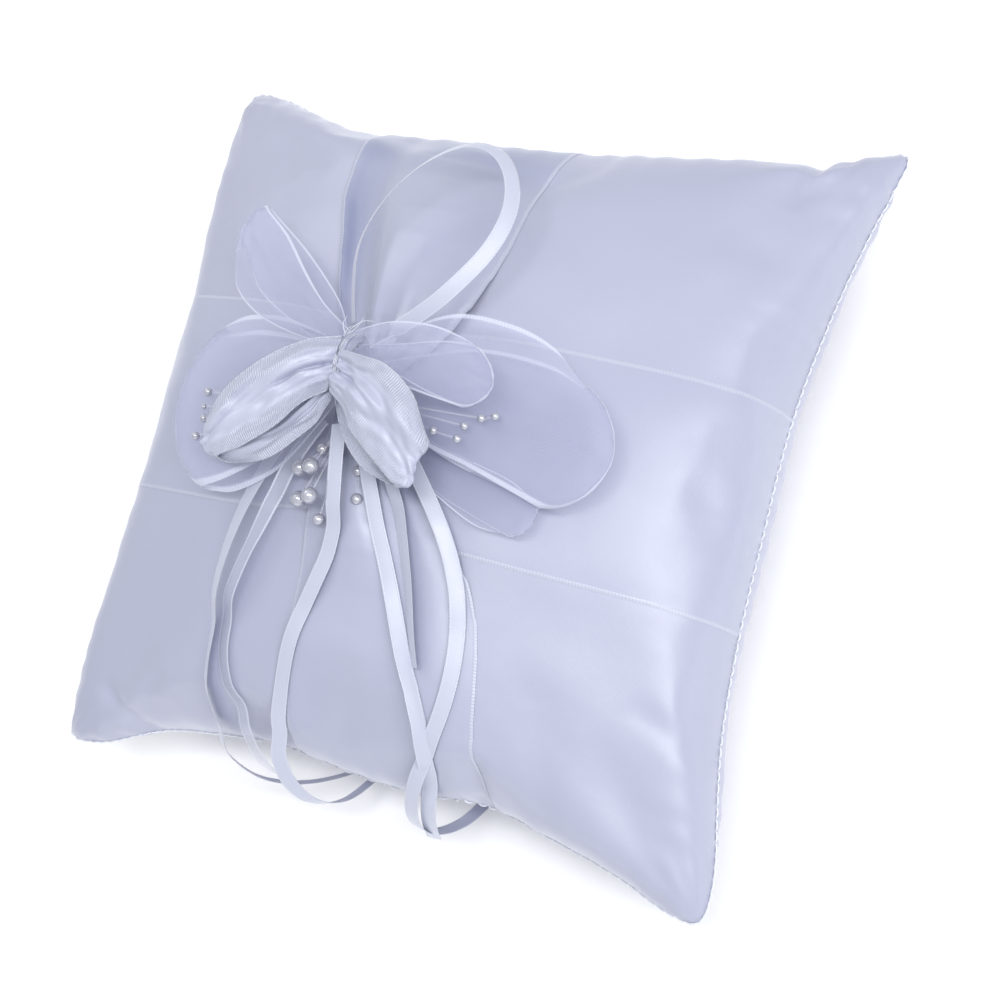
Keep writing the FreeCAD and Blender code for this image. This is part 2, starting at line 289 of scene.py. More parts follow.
def cloth_material(
    name, light, deep, roughness=0.4, sheen=0.3, anisotropy=0.4, weave_mm=0.35, weave_depth=0.02,
    wrinkle_depth=0.15, ribs=0.0, selvedge=0.0, selvedge_and_highlight_colour=(0.49, 0.51, 0.61), alpha=1.0, edge_alpha=1.0,
):
    """Woven cloth: crossing threads, slubs and wrinkles, with ribs and selvedges placed by the UV map, and
    painted shade mixed in by each point's share.
    """
    material, tree, shader = new_material(name)
    place = add_node(tree, "ShaderNodeTexCoord")
    spot, cloth = place.outputs["Object"], place.outputs["UV"]
    scale = WAVE_SCALE / (weave_mm * MM)
    warp, weft = wave(tree, spot, scale, "X", 0.6), wave(tree, spot, scale * 0.9, "Y", 0.6)
    threads = maths(tree, "MULTIPLY", warp, weft)
    slubs = clouds(tree, spot, 900.0, 2.0)
    patches = clouds(tree, spot, 22.0, 4.0)
    soft = clouds(tree, spot, 70.0, 3.0, 0.45)
    normal = bumped(tree, soft, wrinkle_depth * MM)
    fine = maths(tree, "ADD", threads, maths(tree, "MULTIPLY", slubs, 0.8))
    normal = bumped(tree, fine, weave_depth * MM, 0.8, normal)
    colour = mixed(tree, ranged(tree, patches, 0.1, 0.9, 0.0, 1.0), deep, light)
    colour = mixed(tree, ranged(tree, threads, 0.0, 1.0, 0.12, 0.0), colour, deep)
    # painted shade: the colour darkens towards the painted shade colour by each point's share
    painted_shade = add_node(tree, "ShaderNodeAttribute", attribute_name="painted_shade").outputs["Fac"]
    colour = mixed(tree, painted_shade, colour, PAINTED_SHADE_COLOUR)
    parts = add_node(tree, "ShaderNodeSeparateXYZ", {0: cloth})
    along, across = parts.outputs[0], parts.outputs[1]
    from_middle = maths(tree, "ABSOLUTE", maths(tree, "SUBTRACT", across, 0.5))
    if ribs:
        outer = ranged(tree, from_middle, 0.2, 0.3, 0.12, 1.0)
        rib = maths(tree, "MULTIPLY", ripple(tree, along, 0.62), outer)
        normal = bumped(tree, rib, ribs * MM, 1.0, normal)
    # selvedge: the lighter edge colour is the ribbon's woven edge; on the narrow ribbons it is also a
    # painted highlight along their edges, and on the organza loops it also gives the painted highlight along
    # their folds
    if selvedge:
        edge = ranged(tree, from_middle, 0.5 - selvedge, 0.5 - 0.6 * selvedge, 0.0, 1.0)
        picot = ranged(tree, ripple(tree, along, 0.9), -1.0, 1.0, 0.55, 1.0)
        border = maths(tree, "MULTIPLY", edge, picot)
        colour = mixed(tree, border, colour, selvedge_and_highlight_colour)
        normal = bumped(tree, border, 0.12 * MM, 0.8, normal)
        if alpha < 1:
            weave = maths(tree, "MULTIPLY", maths(tree, "SUBTRACT", threads, 0.25), 0.12)
            sheer = maths(tree, "ADD", alpha, weave)
            sheer = maths(tree, "ADD", sheer, maths(tree, "MULTIPLY", edge, edge_alpha - alpha), True)
            set_shader(tree, shader, Alpha=sheer)
    gloss = ranged(tree, patches, 0.1, 0.9, roughness + 0.05, roughness - 0.05)
    set_shader(
        tree, shader, Base_Color=colour, Normal=normal, Roughness=gloss, Anisotropic=anisotropy,
        Specular_IOR_Level=0.8, Sheen_Weight=sheen, Sheen_Roughness=0.35, Sheen_Tint=SHEEN_TINT,
    )
    return material


PALE = (0.388, 0.402, 0.515)
DEEP = (0.352, 0.365, 0.486)
satin = cloth_material("satin", PALE, DEEP, roughness=0.37, anisotropy=0.35)
band_satin = cloth_material(
    "band_satin", (0.394, 0.409, 0.522), (0.350, 0.366, 0.490), roughness=0.36, anisotropy=0.35,
    selvedge=0.02, selvedge_and_highlight_colour=(0.444, 0.466, 0.570),
)
ribbon_satin = cloth_material(
    "ribbon_satin", (0.455, 0.475, 0.590), (0.390, 0.410, 0.535), roughness=0.36, ribs=0.09, selvedge=0.02,
    selvedge_and_highlight_colour=(0.545, 0.565, 0.665),
)
# its lighter edges are partly the woven selvedge and partly a painted highlight along the ribbon's edges
narrow_satin = cloth_material(
    "narrow_satin", (0.470, 0.492, 0.600), (0.430, 0.452, 0.565), roughness=0.38, wrinkle_depth=0.05,
    selvedge=0.12, selvedge_and_highlight_colour=(0.510, 0.530, 0.628),
)
organza = cloth_material(
    "organza", (0.470, 0.485, 0.650), (0.430, 0.445, 0.620), roughness=0.45, sheen=0.6, weave_mm=0.4,
    weave_depth=0.01, wrinkle_depth=0.06, selvedge=0.04, selvedge_and_highlight_colour=(0.600, 0.622, 0.735),
    alpha=0.30, edge_alpha=0.75,
)
sheer_satin = cloth_material(
    "sheer_satin", (0.500, 0.522, 0.640), (0.460, 0.482, 0.605), roughness=0.42, sheen=0.5, weave_mm=0.45,
    wrinkle_depth=0.05, selvedge=0.16, selvedge_and_highlight_colour=(0.545, 0.567, 0.670), alpha=0.5, edge_alpha=0.85,
)


def plain_material(name):
    """A material, its node tree and shader, and the place in the object that its patterns start from."""
    material, tree, shader = new_material(name)
    return material, tree, shader, add_node(tree, "ShaderNodeTexCoord").outputs["Object"]


def thread_material():
    """Twisted sewing thread."""
    material, tree, shader, spot = plain_material("thread")
    twist = wave(tree, spot, 1500.0, "DIAGONAL")
    fuzz = clouds(tree, spot, 1800.0, 2.0)
    colour = mixed(tree, twist, (0.62, 0.65, 0.74), (0.78, 0.80, 0.86))
    normal = bumped(tree, maths(tree, "ADD", twist, fuzz), 0.04 * MM)
    set_shader(tree, shader, Base_Color=colour, Normal=normal, Roughness=0.55, Sheen_Weight=0.3)
    return material


def fibre_material():
    """Loose polyester fibre."""
    material, tree, shader, spot = plain_material("fibre")
    tufts, hairs = clouds(tree, spot, 60.0, 6.0, 0.7), clouds(tree, spot, 700.0, 4.0, 0.7)
    colour = mixed(tree, tufts, (0.74, 0.75, 0.78), (0.90, 0.90, 0.92))
    normal = bumped(tree, maths(tree, "ADD", tufts, hairs), 0.6 * MM)
    set_shader(tree, shader, Base_Color=colour, Normal=normal, Roughness=0.95, Sheen_Weight=0.4)
    return material


def pearl_material():
    """Cloudy nacre under a clear glaze, with painted shade that darkens its colour where it turns away."""
    material, tree, shader, spot = plain_material("pearl")
    depth = clouds(tree, spot, 500.0, 3.0)
    painted_rim_shade = add_node(tree, "ShaderNodeLayerWeight", {"Blend": 0.35}).outputs["Facing"]
    body = mixed(tree, depth, (0.42, 0.43, 0.50), (0.54, 0.54, 0.60))
    # painted shade: the colour darkens towards the rim, where the surface turns away
    colour = mixed(tree, painted_rim_shade, body, (0.20, 0.21, 0.29))
    gloss = ranged(tree, depth, 0.3, 0.7, 0.16, 0.24)
    set_shader(
        tree, shader, Base_Color=colour, Roughness=gloss, Metallic=0.35, Specular_IOR_Level=0.8,
        Coat_Weight=0.9, Coat_Roughness=0.05,
    )
    return material


def clear_material():
    """Clear nylon line."""
    material, tree, shader, spot = plain_material("clear_line")
    haze = clouds(tree, spot, 800.0, 2.0)
    colour = mixed(tree, haze, (0.80, 0.82, 0.88), (0.93, 0.94, 0.97))
    gloss = ranged(tree, haze, 0.3, 0.7, 0.08, 0.2)
    set_shader(tree, shader, Base_Color=colour, Roughness=gloss, Alpha=0.11, Specular_IOR_Level=0.8)
    return material


thread = thread_material()
fibre = fibre_material()
pearl = pearl_material()
clear_line = clear_material()

# ------------ the pillow, inflated as two sewn sheets
CELLS = 64
FINER = 3
SEAM_Z = 0.035
CUT_SIDE = 0.207
# the outline's four sides, in millimetres
TOP_SIDE = [
    (-100, 103.5), (-89, 102.3), (-75, 98.2), (-62, 94), (-47, 92), (-1, 92), (40, 93.6), (70, 95.5),
    (85, 94.5), (92, 98.5), (106.5, 102.5),
]
RIGHT_SIDE = [
    (99, -100.5), (98.5, -86), (95.5, -72), (91.5, -46), (91, -3), (91.5, 31), (94, 50), (98, 72),
    (102.5, 88), (106.5, 102.5),
]
BOTTOM_SIDE = [
    (-99, -98), (-86, -97), (-71, -90), (-59, -87), (-30, -84), (-7, -86), (14, -87), (35, -85), (50, -88),
    (73, -93), (89, -98.5), (99, -100.5),
]
LEFT_SIDE = [
    (-99, -98), (-98, -84), (-94, -55), (-92.5, -26), (-92, 5), (-93, 37), (-95, 62), (-98, 80), (-99.5, 92),
    (-100, 103.5),
]


def side_line(side, count=CELLS + 1):
    line = even_line(side, count) * MM
    return np.column_stack([line, np.full(count, SEAM_Z)])


def over_sides(bottom, top, left, right):
    """Fills in a grid from its four sides: index 0 runs from left to right, index 1 from bottom to top."""
    u = np.linspace(0, 1, len(bottom))[:, None, None]
    v = np.linspace(0, 1, len(left))[None, :, None]
    ruled = (1 - v) * bottom[:, None] + v * top[:, None] + (1 - u) * left[None] + u * right[None]
    corners = (1 - u) * (1 - v) * bottom[0] + u * (1 - v) * bottom[-1]
    corners = corners + (1 - u) * v * top[0] + u * v * top[-1]
    return ruled - corners


def even_mesh(count):
    """Steps from -1 to 1 in both directions of a grid."""
    steps = np.linspace(-1, 1, count)
    return np.meshgrid(steps, steps, indexing="ij")


def rim_sides():
    """The four sides of the seam, rounded a little at the corners and waving up and down a little."""
    bottom, top, left, right = (side_line(s) for s in (BOTTOM_SIDE, TOP_SIDE, LEFT_SIDE, RIGHT_SIDE))
    loop = np.vstack([bottom[:-1], right[:-1], top[:0:-1], left[:0:-1]])
    for _ in range(3):
        loop = 0.5 * loop + 0.25 * (np.roll(loop, 1, axis=0) + np.roll(loop, -1, axis=0))
    arc = np.arange(len(loop)) / len(loop) * 2 * math.pi
    loop[:, 2] += (0.9 * np.sin(3 * arc + 0.6) + 0.5 * np.sin(8 * arc + 2.0) + 0.25 * np.sin(21 * arc)) * MM
    n = CELLS
    closed = np.vstack([loop, loop[:1]])
    return closed[:n + 1], closed[2 * n:3 * n + 1][::-1], closed[3 * n:][::-1], closed[n:2 * n + 1]


def start_grids():
    """Both sheets, shaped as a rough dome and its mirror image."""
    flat = over_sides(*rim_sides())
    u, v = even_mesh(CELLS + 1)
    dome = 0.034 * np.maximum((1 - u * u) * (1 - v * v), 0) ** 0.44
    front, back = flat.copy(), flat.copy()
    front[:, :, 2] = dome
    back[:, :, 2] = -dome
    return front, back, u * CUT_SIDE / 2, v * CUT_SIDE / 2


def inflate(front, back, flat_x, flat_y):
    """Blows the two sheets, cut flat and sewn round the rim, into a pillow with Blender's cloth."""
    n = CELLS + 1
    index = {}
    points, flats, faces = [], [], []
    for number, grid in enumerate((front, back)):
        for i in range(n):
            for j in range(n):
                rim = i in (0, n - 1) or j in (0, n - 1)
                if rim and number == 1:
                    index[1, i, j] = index[0, i, j]
                    continue
                index[number, i, j] = len(points)
                points.append(tuple(grid[i, j]))
                flats.append((flat_x[i, j], flat_y[i, j], 0))
        for i in range(n - 1):
            for j in range(n - 1):
                face = [index[number, a, b] for a, b in ((i, j), (i + 1, j), (i + 1, j + 1), (i, j + 1))]
                faces.append(face if number == 0 else face[::-1])
    mesh = bpy.data.meshes.new("inflated")
    mesh.from_pydata(points, [], faces)
    cloth = placed("inflated", mesh)
    cloth.shape_key_add(name="start")
    cut = cloth.shape_key_add(name="cut_flat")
    cut.data.foreach_set("co", np.array(flats, np.float32).ravel())
    cut.value = 0
    modifier = cloth.modifiers.new("cloth", "CLOTH")
    settings = modifier.settings
    settings.quality = 6
    settings.mass = 0.15
    settings.tension_stiffness = 25
    settings.compression_stiffness = 25
    settings.shear_stiffness = 8
    settings.bending_stiffness = 0.05
    settings.tension_damping = 8
    settings.compression_damping = 8
    settings.shear_damping = 8
    settings.bending_damping = 0.5
    settings.air_damping = 3
    settings.rest_shape_key = cut
    settings.use_pressure = True
    settings.uniform_pressure_force = 5
    settings.effector_weights.gravity = 0
    modifier.collision_settings.use_collision = False
    modifier.collision_settings.use_self_collision = False
    last = 30
    modifier.point_cache.frame_start = 1
    modifier.point_cache.frame_end = last
    SCENE.frame_start, SCENE.frame_end = 1, last
    for step in range(1, last + 1):
        SCENE.frame_set(step)
    evaluated = cloth.evaluated_get(bpy.context.evaluated_depsgraph_get()).to_mesh()
    co = np.zeros(len(evaluated.vertices) * 3, np.float32)
    evaluated.vertices.foreach_get("co", co)
    co = co.reshape(-1, 3).astype(float)
    grids = []
    for number in (0, 1):
        rows = [[index[number, i, j] for j in range(n)] for i in range(n)]
        grids.append(co[np.array(rows)])
    bpy.data.objects.remove(cloth)
    SCENE.frame_set(1)
    return grids


def relax(grid, rounds):
    """Evens out a grid's inner points."""
    grid = grid.copy()
    for _ in range(rounds):
        around = grid[:-2, 1:-1] + grid[2:, 1:-1] + grid[1:-1, :-2] + grid[1:-1, 2:]
        grid[1:-1, 1:-1] = 0.5 * grid[1:-1, 1:-1] + 0.125 * around
    return grid


def fit_sheet(grid, tree, side, share):
    """Moves a blown sheet onto the outline and, by share, towards the frame's cover; its creases stay."""
    wanted = over_sides(*rim_sides())
    rim_moves = wanted - grid
    grid = grid + over_sides(rim_moves[:, 0], rim_moves[:, -1], rim_moves[0], rim_moves[-1])
    gap = np.zeros(grid.shape[:2])
    for i in range(1, grid.shape[0] - 1):
        for j in range(1, grid.shape[1] - 1):
            x, y = grid[i, j, :2]
            hit = tree.ray_cast(Vector((x, y, 0.2 * side)), Vector((0, 0, -side)))[0]
            if hit is not None:
                gap[i, j] = hit.z - grid[i, j, 2]
    grid[:, :, 2] += share * relax(gap, 60)
    return grid


def node_tree_of(name):
    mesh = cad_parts[name].data
    return BVHTree.FromPolygons([v.co for v in mesh.vertices], [tuple(p.vertices) for p in mesh.polygons])


def valley(x, y, ends, width, depth):
    """A soft valley along the line between two points, all in millimetres."""
    ax, ay, bx, by = ends
    length = math.hypot(bx - ax, by - ay)
    share = np.clip(((x - ax) * (bx - ax) + (y - ay) * (by - ay)) / length ** 2, 0, 1)
    off = np.hypot(x - ax - share * (bx - ax), y - ay - share * (by - ay))
    return -depth * np.exp(-(off / width) ** 2) * np.sin(math.pi * np.clip(0.15 + 0.85 * share, 0, 1)) ** 0.7


# the two ends in millimetres (x, y, x, y), the width and the depth
FRONT_VALLEYS = [
    ((86, 97, 83, 78), 2.6, 1.6),
    ((92, 98, 97, 84), 2.2, 0.7),
    ((35, -88, 40, -73), 3.5, 1.8),
    ((-88, 92, -60, 70), 5.0, 0.8),
    ((-84, -88, -62, -66), 4.5, 0.9),
    ((-70, -90, -84, -79), 3.0, 1.7),
    ((-70, -88, -58, -72), 3.0, 0.7),
    ((88, -88, 66, -62), 5.0, 0.9),
    ((92, -60, 74, -52), 3.5, 0.6),
    ((84, 62, 66, 70), 5.0, 0.6),
    ((-62, 20, -40, 36), 8.0, 0.5),
    ((60, -86, 52, -60), 5.0, 0.6),
]
BACK_VALLEYS = [((-60, -20, 10, 30), 9, 0.8), ((20, -60, 70, -40), 8, 0.7)]


def add_details(grid, outward, valleys):
    """Stitched groove, puckers along the seam, corner creases and the slight lumps of the filling."""
    normal = normals_of(grid) * outward
    u, v = even_mesh(grid.shape[0])
    x, y = grid[:, :, 0] / MM, grid[:, :, 1] / MM
    to_u, to_v = (1 - np.abs(u)) * 100, (1 - np.abs(v)) * 100
    from_seam = np.minimum(to_u, to_v)
    along = np.where(to_u < to_v, y + 300 * np.sign(u), x - 500 * np.sign(v))
    jitter = np.vectorize(lambda s: noise.noise(Vector((s / 23.0, 4.7, 1.3))))(along)
    size = np.vectorize(lambda s: 0.35 + 0.9 * abs(noise.noise(Vector((s / 31.0, 9.1, 6.2)))))(along)
    reach = np.exp(-from_seam / 8.0) * (1 - np.exp(-from_seam / 1.6))
    puckers = 0.55 * size * np.sin(2 * math.pi * (along / 9.5 + 0.9 * jitter)) * reach
    corner_x, corner_y = np.abs(x) - 99, np.abs(y) - 99
    radius, angle = np.hypot(corner_x, corner_y), np.arctan2(corner_y, corner_x)
    rays = 0.35 * np.cos(17 * angle + 2 * np.sign(u) + np.sign(v)) * np.exp(-radius / 16)
    rays = rays * np.clip(radius / 9, 0, 1)
    lumps = np.zeros_like(x)
    for i in range(grid.shape[0]):
        for j in range(grid.shape[1]):
            here = Vector((x[i, j] / 38.0, y[i, j] / 38.0, outward * 3.0))
            lumps[i, j] = 0.7 * noise.noise(here) + 0.25 * noise.noise(here * 2.7)
    lumps *= np.clip(from_seam / 15, 0, 1)
    total = puckers + rays + lumps
    for ends, width, depth in valleys:
        total = total + valley(x, y, ends, width, depth) * np.clip(from_seam / 2.0, 0, 1)
    grid = grid + normal * (total * MM)[..., None]
    groove = 0.45 * np.exp(-(from_seam / 1.3) ** 2)
    inward = unit(np.stack([-x, -y, np.zeros_like(x)], axis=2))
    return grid + inward * (groove * MM)[..., None]


def make_pillow():
    """The front and the back cover as fine grids that share their rim and rest on the floor."""
    front, back, flat_x, flat_y = start_grids()
    front, back = inflate(front, back, flat_x, flat_y)
    front, back = relax(front, 2), relax(back, 2)
    front[:, :, 2] = front[:, :, 2] * 0.92 + SEAM_Z
    back[:, :, 2] = back[:, :, 2] * 0.92 + SEAM_Z
    front = fit_sheet(front, node_tree_of("front_panel"), 1, 0.3)
    back = fit_sheet(back, node_tree_of("back_panel"), -1, 0.35)
    front, back = finer(front, FINER), finer(back, FINER)
    front = add_details(front, 1, FRONT_VALLEYS)
    back = add_details(back, -1, BACK_VALLEYS)
    height = back[:, :, 2]
    on_floor = 0.5 * (height + np.sqrt(height ** 2 + (1.2 * MM) ** 2))
    back[:, :, 2] = np.where(height < 20 * MM, on_floor, height)
    rim = np.zeros(front.shape[:2], bool)
    rim[[0, -1], :] = True
    rim[:, [0, -1]] = True
    middle = 0.5 * (front[rim] + back[rim])
    front[rim] = back[rim] = middle
    return front, back


front, back = make_pillow()
front_normals = normals_of(front)


def kept(piece, body, slot, *nodes):
    """Puts a piece on its body and hides the frame's nodes that it stands for; slot is not used."""
    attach(piece, body)
    if nodes:
        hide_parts(*nodes)
    return piece


def cover_piece(name, grid, node, flip):
    shape = Shape()
    shape.add_grid(grid, flip=flip)
    return kept(shape.build(name, satin, 0.4 * MM), "pillow", "satin", node)


front_piece = cover_piece("front_cover", front, "front_panel", False)
back_piece = cover_piece("back_cover", back, "back_panel", True)


def filling_piece():
    """The fibre filling: both covers moved in, with a tufted surface, closed round the rim."""
    shape = Shape()
    inner = []
    for grid, outward in ((front, 1), (back, -1)):
        inset = (grid - normals_of(grid) * outward * 1.1 * MM)[::2, ::2]
        u, v = even_mesh(inset.shape[0])
        near_rim = 1 - np.minimum(1 - np.abs(u), 1 - np.abs(v))
        shrink = (1 - 0.03 * near_rim ** 6)[..., None]
        inset = np.concatenate([inset[..., :2] * shrink, inset[..., 2:]], axis=2)
        inner.append(inset)
    rim_z = 0.5 * (inner[0][..., 2] + inner[1][..., 2])
    for grid in inner:
        for edge in ((0, slice(None)), (-1, slice(None)), (slice(None), 0), (slice(None), -1)):
            grid[edge + (2,)] = rim_z[edge]
    shape.add_grid(inner[0])
    shape.add_grid(inner[1], flip=True)
    return shape.build("filling", fibre)


filling = kept(filling_piece(), "pillow", "fibre", "fibre_filling")


# ------------ seam
def rim_loop(grid):
    """The points round a grid's rim, in order."""
    return np.vstack([grid[:-1, 0], grid[-1, :-1], grid[:0:-1, -1], grid[0, :0:-1]])


def stitches(name, pitch, length, radius, keep, lean, node):
    """Short stitches along the seam, wherever keep says so, just proud of it and leaning a little."""
    loop = rim_loop(front)
    closed = np.vstack([loop, loop[:1]])
    run = run_along(closed)
    shape = Shape()

    def point(distance):
        distance = distance % run[-1]
        return np.array([np.interp(distance, run, closed[:, k]) for k in range(3)])

    for number in range(int(run[-1] / pitch)):
        at = number * pitch
        middle = point(at)
        if not keep(middle):
            continue
        a, b = point(at - length / 2), point(at + length / 2)
        outward = unit(np.array([middle[0], middle[1], 0.0]))
        rise = np.array([0, 0, lean * (1 if number % 2 else -1)])
        path = [a + outward * 0.15 * MM - rise, middle + outward * 0.5 * MM, b + outward * 0.15 * MM + rise]
        shape.add_tube(smooth_line(path, 6), radius, 6)
    kept(shape.build(name, thread), "pillow", "thread", node)


def at_opening(p):
    """Whether a point is on the hand-closed opening in the middle of the bottom seam."""
    return p[1] < -75 * MM and abs(p[0] + 1 * MM) < 32 * MM


def off_opening(p):
    return not at_opening(p)


stitches("seam_stitches", 2.9 * MM, 2.3 * MM, 0.25 * MM, off_opening, 0.05 * MM, "edge_seam_thread")
stitches("ladder_stitches", 3.6 * MM, 1.8 * MM, 0.28 * MM, at_opening, 0.9 * MM, "closing_stitches")


# ------------ bands
def on_front(u, v, lift):
    """Points of the front cover at u and v, each from -1 to 1, raised by lift along its normal."""
    n = front.shape[0] - 1
    a, b = np.clip((u + 1) / 2 * n, 0, n - 1e-6), np.clip((v + 1) / 2 * n, 0, n - 1e-6)
    i, j = a.astype(int), b.astype(int)
    s, t = (a - i)[..., None], (b - j)[..., None]

    def blend(grid):
        low = grid[i, j] * (1 - s) + grid[i + 1, j] * s
        high = grid[i, j + 1] * (1 - s) + grid[i + 1, j + 1] * s
        return low * (1 - t) + high * t

    return blend(front) + unit(blend(front_normals)) * np.asarray(lift)[..., None]


STEPS = np.linspace(-1, 1, front.shape[0])
BAND_WIDTH = 57
BAND_GAP = 0.14


def bump_at(values, centre, width):
    """1 at centre, fading to nothing over about twice the width."""
    return np.exp(-((values - centre) / width) ** 2)


def horizontal_band():
    """Sewn into the left and right seams; it lies smooth at both ends and is drawn together at the knot."""
    along, across = 150, 44
    u = np.linspace(-1, 1, along)
    share = np.linspace(0, 1, across)
    v = np.zeros((along, across))
    for i, here in enumerate(u):
        column = int(round((here + 1) / 2 * (front.shape[0] - 1)))
        y = front[column, :, 1] / MM
        x = front[column, :, 0].mean() / MM
        middle = 4.5 - 5.0 * (x + 94) / 188
        pinch = 1 - 0.12 * bump_at(x, -9, 22)
        targets = middle + BAND_WIDTH / 2 * pinch * (2 * share - 1)
        v[i] = np.interp(targets, y, STEPS)
    x = u * 94
    grid_u = np.repeat(u[:, None], across, axis=1)
    s = share[None, :]
    crown = np.sin(s * math.pi)
    gathered = bump_at(x, -9, 30)[:, None]
    folds = np.sin(s * 2 * math.pi * 4.5 + 0.7) + 0.5 * np.sin(s * 2 * math.pi * 9 + 1.9)
    hump = bump_at(x, 60, 22)[:, None] * crown * 1.1
    end = np.clip((1 - np.abs(u)) / 0.05, 0, 1)[:, None]
    drawn = 0.9 * gathered * (1 + 0.5 * folds) * crown ** 0.3
    lift = BAND_GAP + end * (drawn + hump + 0.12 * crown)
    return on_front(grid_u, v, lift * MM)


# the vertical band's two edges, as points (x, y) in millimetres
LEFT_EDGE = [
    (-40, 120), (-40, 70), (-35, 52), (-25, 27), (-17, 14), (-17, 6), (-18, -20), (-17, -46), (-18, -120),
]
RIGHT_EDGE = [
    (20, 120), (18, 77), (17, 52), (9, 27), (-1, 14), (-1, 6), (14, -12), (33, -37), (39, -70), (42, -120),
]


def edge_x(edge, y):
    """Where a band's edge, which is listed from top to bottom, crosses y."""
    line = even_line(edge, 200)[::-1]
    return np.interp(y, line[:, 1], line[:, 0])


def vertical_band():
    """Sewn into the top and bottom seams over the other band and gathered in pleats under the knot.

    It is given back with the share of painted shade at each of its points: darker colour standing in for the
    shade of the fold along its left edge and under the top loop.
    """
    along, across = 170, 52
    v = np.linspace(1, -1, along)
    share = np.linspace(0, 1, across)
    u = np.zeros((along, across))
    rows_y = np.zeros(along)
    for i, here in enumerate(v):
        row = int(round((here + 1) / 2 * (front.shape[0] - 1)))
        x = front[:, row, 0] / MM
        y = np.interp(0, x, front[:, row, 1] / MM)
        rows_y[i] = y
        left, right = edge_x(LEFT_EDGE, y), edge_x(RIGHT_EDGE, y)
        u[i] = np.interp(left + (right - left) * share, x, STEPS)
    grid_v = np.repeat(v[:, None], across, axis=1)
    y = rows_y[:, None]
    s = share[None, :]
    near = np.exp(-np.abs(y - 10) / 15)
    pleats = 0.5 + 0.5 * np.cos(2 * math.pi * (5 * s + 0.08 * np.sin(y / 9)))
    fine = 0.5 + 0.5 * np.cos(2 * math.pi * (11 * s + 0.2))
    sides = np.sin(math.pi * s) ** 0.4
    flank = 1 / (1 + np.exp(-(s - 0.30 + 0.0012 * (y - 40)) / 0.035))
    belly = 6.8 * bump_at(y, 46, 27) * flank * np.sin(math.pi * np.clip(s, 0.35, 1)) ** 0.8
    ridge = 0.8 * bump_at(y, 50, 34) * bump_at(s, 0.02, 0.05)
    lower = 3.2 * bump_at(y, -22, 18) * bump_at(s, 0.36, 0.20)
    lower = lower + 1.2 * bump_at(y, -46, 26) * bump_at(s, 0.8, 0.12)
    folded_edge = 0.8 * bump_at(y, 30, 14) * bump_at(s, 0.97, 0.05)
    end = np.clip((1 - np.abs(grid_v)) / 0.06, 0, 1)
    over = 0.9 * np.clip((44 - np.abs(y - 4)) / 14, 0, 1)
    drawn = sides * near * (2.0 * pleats + 0.7 * fine)
    lift = BAND_GAP + end * (over + 0.3 * sides + belly + ridge + lower + folded_edge + drawn)
    # painted shade: darker colour along the fold at the band's left edge, where it turns away from the light
    shade = 0.9 * bump_at(s, 0.04 + 0.001 * (y - 40), 0.14) * bump_at(y, 50, 28)
    # painted shadow: darker colour on the band under the top of the narrow loop
    shade = np.clip(shade + 0.65 * bump_at(y, 83, 9) * bump_at(s, 0.55, 0.4), 0, 1)
    return on_front(u, grid_v, lift * MM), shade


band_across = horizontal_band()
band_down, band_shade = vertical_band()


def band_piece(name, grid, node, painted_shade=None):
    """A band as a sheet whose flat length is measured along its middle."""
    n, m = grid.shape[:2]
    length = float(run_along(grid[:, m // 2])[-1])
    shape = Shape()
    shape.add_grid(grid, uv_grid(np.linspace(0, length / DECIMETRE, n), np.linspace(0, 1, m)), painted_shade=painted_shade)
    piece = kept(shape.build(name, band_satin, 0.18 * MM), "pillow", "band_satin", node)


band_piece("band_across", band_across, "horizontal_band")
band_piece("band_down", band_down, "vertical_band", band_shade)

